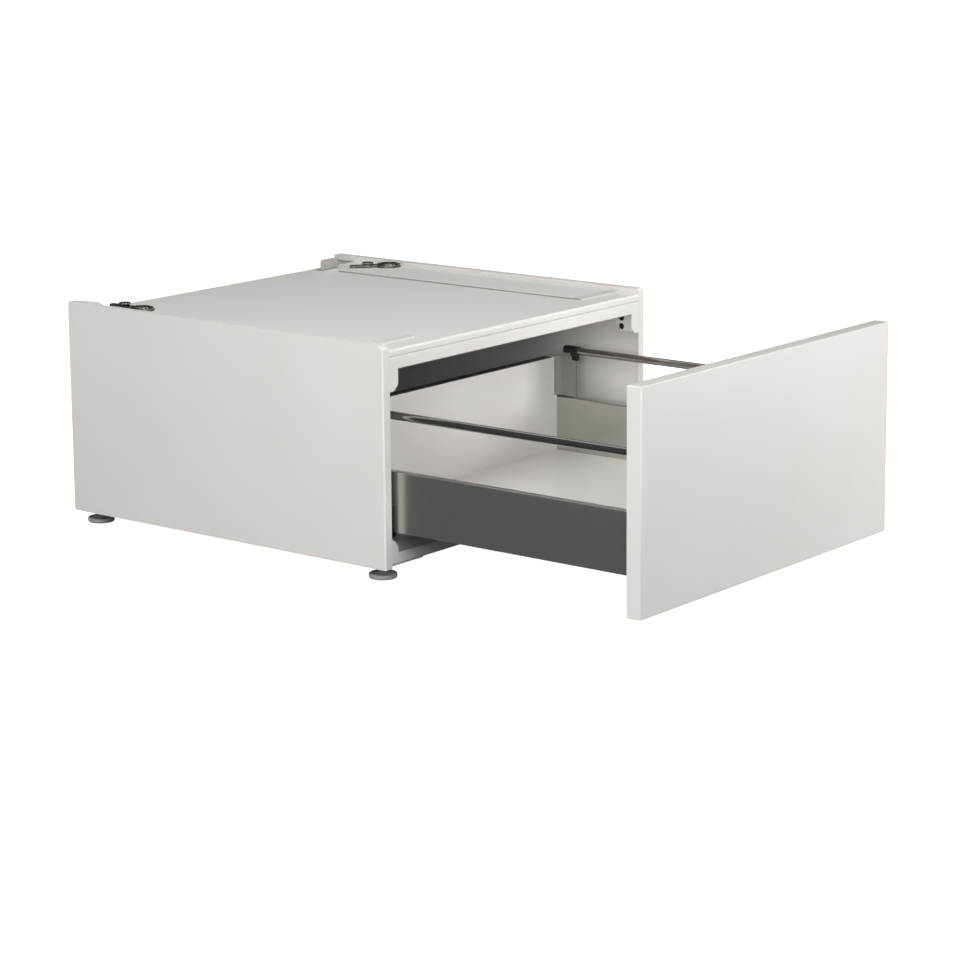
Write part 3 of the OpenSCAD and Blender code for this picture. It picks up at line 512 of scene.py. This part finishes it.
meshSettings = {  # metres and degrees
    "weld": 0.000002, "threadWeld": 0.000003, "cutReach": 0.0000005,
    "flatAngle": 0.5, "brokenAngle": 40, "shadeAngle": 50, "screwShadeAngle": 30,
}


def finishPiece(piece, node):
    piece.data.materials.clear()
    piece.data.materials.append(ownFinishes.get(node, finishes[slotOfNode[node]]))
    for index, (finish, getsShade) in enumerate(shadeFinishes.get(node, []), 1):
        piece.data.materials.append(finish)
        for face in piece.data.polygons:
            if getsShade(face.center, face.normal):
                face.material_index = index
    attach(piece, bodyOfNode[node])
    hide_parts(node)


def finishMesh(shape, node, sharpAngle):
    for face in shape.faces:
        face.smooth = True
    for edge in shape.edges:
        edge.smooth = len(edge.link_faces) == 2 and edge.calc_face_angle() < math.radians(sharpAngle)
    data = bpy.data.meshes.new(node + "Piece")
    shape.to_mesh(data)
    shape.free()
    piece = bpy.data.objects.new(node + "Piece", data)
    bpy.context.collection.objects.link(piece)
    even = piece.modifiers.new("evenShading", "WEIGHTED_NORMAL")
    even.keep_sharp = True
    finishPiece(piece, node)


def weldedMesh(node):
    shape = bmesh.new()
    shape.from_mesh(frame["nodes"][node].data)
    bmesh.ops.remove_doubles(shape, verts=shape.verts, dist=meshSettings["weld"])
    return shape


def dressNode(node):
    shape = weldedMesh(node)
    bmesh.ops.dissolve_limit(
        shape, angle_limit=math.radians(meshSettings["flatAngle"]), use_dissolve_boundaries=False,
        verts=shape.verts, edges=shape.edges
    )
    width = edgeSettings.get(node, edgeSettings[slotOfNode[node]]) / 1000
    least = math.radians(meshSettings["brokenAngle"])
    sharp = [e for e in shape.edges if len(e.link_faces) == 2 and e.calc_face_angle() > least]
    if width and sharp:
        bmesh.ops.bevel(
            shape, geom=sharp, offset=width, offset_type="OFFSET", segments=2, profile=0.5, affect="EDGES",
            material=-1, clamp_overlap=True
        )
    finishMesh(shape, node, meshSettings["shadeAngle"])


# fasteners: pan heads with a cross recess and screw threads, which the CAD model leaves plain

screwSettings = {  # metres, but for the counts and shares
    "flat": 0.0052, "rimHeight": 0.0009, "shoulder": 0.86, "steps": 24,
    "recessLength": 0.0042, "recessWidth": 0.00095, "recessDepth": 0.0013, "recessTaper": 0.8,
}

threadSettings = {  # metres, but for the count
    "pitch": 0.0015, "depth": 0.0008, "flat": 0.00025, "turnSteps": 28,
}

headDirection = {  # which way each group's screw heads face, by the middle of the head
    "rear_panel_screws": lambda middle: Vector((0, 1, 0)),
    "bracket_screws": lambda middle: Vector((0, 1, 0)),
    "runner_screws": lambda middle: Vector((-1 if middle.x > 0 else 1, 0, 0)),
}


def islandBoxes(node):
    shape = weldedMesh(node)
    boxes = []
    waiting = set(shape.verts)
    while waiting:
        group = [waiting.pop()]
        for vert in group:
            for edge in vert.link_edges:
                other = edge.other_vert(vert)
                if other in waiting:
                    waiting.remove(other)
                    group.append(other)
        low = Vector([min(v.co[i] for v in group) for i in range(3)])
        high = Vector([max(v.co[i] for v in group) for i in range(3)])
        boxes.append((low, high))
    shape.free()
    return boxes


def headRings(radius, tall):
    steps = screwSettings["steps"]
    flat = screwSettings["flat"] / 2
    sections = (  # radius and height
        (radius, 0.0), (radius, screwSettings["rimHeight"]),
        ((radius + flat) / 2, tall * screwSettings["shoulder"]), (flat, tall),
    )
    angles = [math.tau * k / steps for k in range(steps)]
    return [[(r * math.cos(a), r * math.sin(a), z) for a in angles] for r, z in sections]


def crossOutline():
    half = screwSettings["recessLength"] / 2
    arm = screwSettings["recessWidth"] / 2
    outline = []
    for quarter in range(4):
        c = round(math.cos(math.tau * quarter / 4))
        s = round(math.sin(math.tau * quarter / 4))
        for x, y in ((half, -arm), (half, arm), (arm, arm)):
            outline.append((x * c - y * s, x * s + y * c))
    return outline


def joinRings(shape, lower, upper):
    count = len(lower)
    for k in range(count):
        n = (k + 1) % count
        shape.faces.new((lower[k], lower[n], upper[n], upper[k]))


def addScrewHead(shape, seat, facing, radius, tall):
    before = set(shape.verts)
    rings = [[shape.verts.new(co) for co in ring] for ring in headRings(radius, tall)]
    for lower, upper in zip(rings, rings[1:]):
        joinRings(shape, lower, upper)
    shape.faces.new(list(reversed(rings[0])))
    taper = screwSettings["recessTaper"]
    depth = tall - screwSettings["recessDepth"]
    mouth = [shape.verts.new((x, y, tall)) for x, y in crossOutline()]
    bottom = [shape.verts.new((x * taper, y * taper, depth)) for x, y in crossOutline()]
    joinRings(shape, mouth, bottom)
    shape.faces.new(bottom)
    rims = []
    for ring in (rings[-1], mouth):
        for pair in zip(ring, ring[1:] + ring[:1]):
            rims.append(shape.edges.get(pair) or shape.edges.new(pair))
    bmesh.ops.triangle_fill(shape, use_beauty=True, edges=rims, normal=(0, 0, 1))
    added = [v for v in shape.verts if v not in before]
    turn = facing.to_track_quat("Z", "Y").to_matrix().to_4x4()
    bmesh.ops.transform(shape, matrix=Matrix.Translation(seat) @ turn, verts=added)


def makeScrews(node):
    shape = bmesh.new()
    for low, high in islandBoxes(node):
        middle = (low + high) / 2
        facing = headDirection[node](middle)
        size = high - low
        tall = abs(size.dot(facing))
        radius = max(size) / 2
        addScrewHead(shape, middle - facing * tall / 2, facing, radius, tall)
    bmesh.ops.recalc_face_normals(shape, faces=shape.faces)
    finishMesh(shape, node, meshSettings["screwShadeAngle"])


def makeThreadedStem(node):
    low, high = islandBoxes(node)[0]
    middle = (low + high) / 2
    radius = (high.x - low.x) / 2
    root = radius - threadSettings["depth"]
    pitch = threadSettings["pitch"]
    flat = threadSettings["flat"]
    steps = threadSettings["turnSteps"]
    turns = math.ceil((high.z - low.z) / pitch) + 2  # one more at either end, which the cuts take off
    start = low.z - pitch
    shape = bmesh.new()
    profile = ((radius, 0.0), (radius, flat), (root, pitch / 2), (root, pitch / 2 + flat), (radius, pitch))
    line = [shape.verts.new((middle.x + r, middle.y, start + z)) for r, z in profile]
    edges = [shape.edges.new(pair) for pair in zip(line, line[1:])]
    bmesh.ops.spin(
        shape, geom=line + edges, cent=(middle.x, middle.y, 0.0), axis=(0, 0, 1),
        dvec=(0, 0, pitch / steps), angle=math.tau * turns, steps=steps * turns, use_merge=False
    )
    bmesh.ops.remove_doubles(shape, verts=shape.verts, dist=meshSettings["threadWeld"])
    for height, outward in ((low.z, -1), (high.z, 1)):
        cut = bmesh.ops.bisect_plane(
            shape, geom=shape.verts[:] + shape.edges[:] + shape.faces[:], dist=meshSettings["cutReach"],
            plane_co=(0, 0, height), plane_no=(0, 0, outward), clear_outer=True
        )
        rim = [item for item in cut["geom_cut"] if isinstance(item, bmesh.types.BMEdge)]
        bmesh.ops.triangle_fill(shape, use_beauty=True, edges=rim, normal=(0, 0, outward))
    bmesh.ops.recalc_face_normals(shape, faces=shape.faces)
    finishMesh(shape, node, meshSettings["screwShadeAngle"])


for node in frame["nodes"]:
    if node in headDirection:
        makeScrews(node)
    elif node.startswith("foot_stem"):
        makeThreadedStem(node)
    else:
        dressNode(node)
print("pieces dressed:", len(frame["nodes"]))
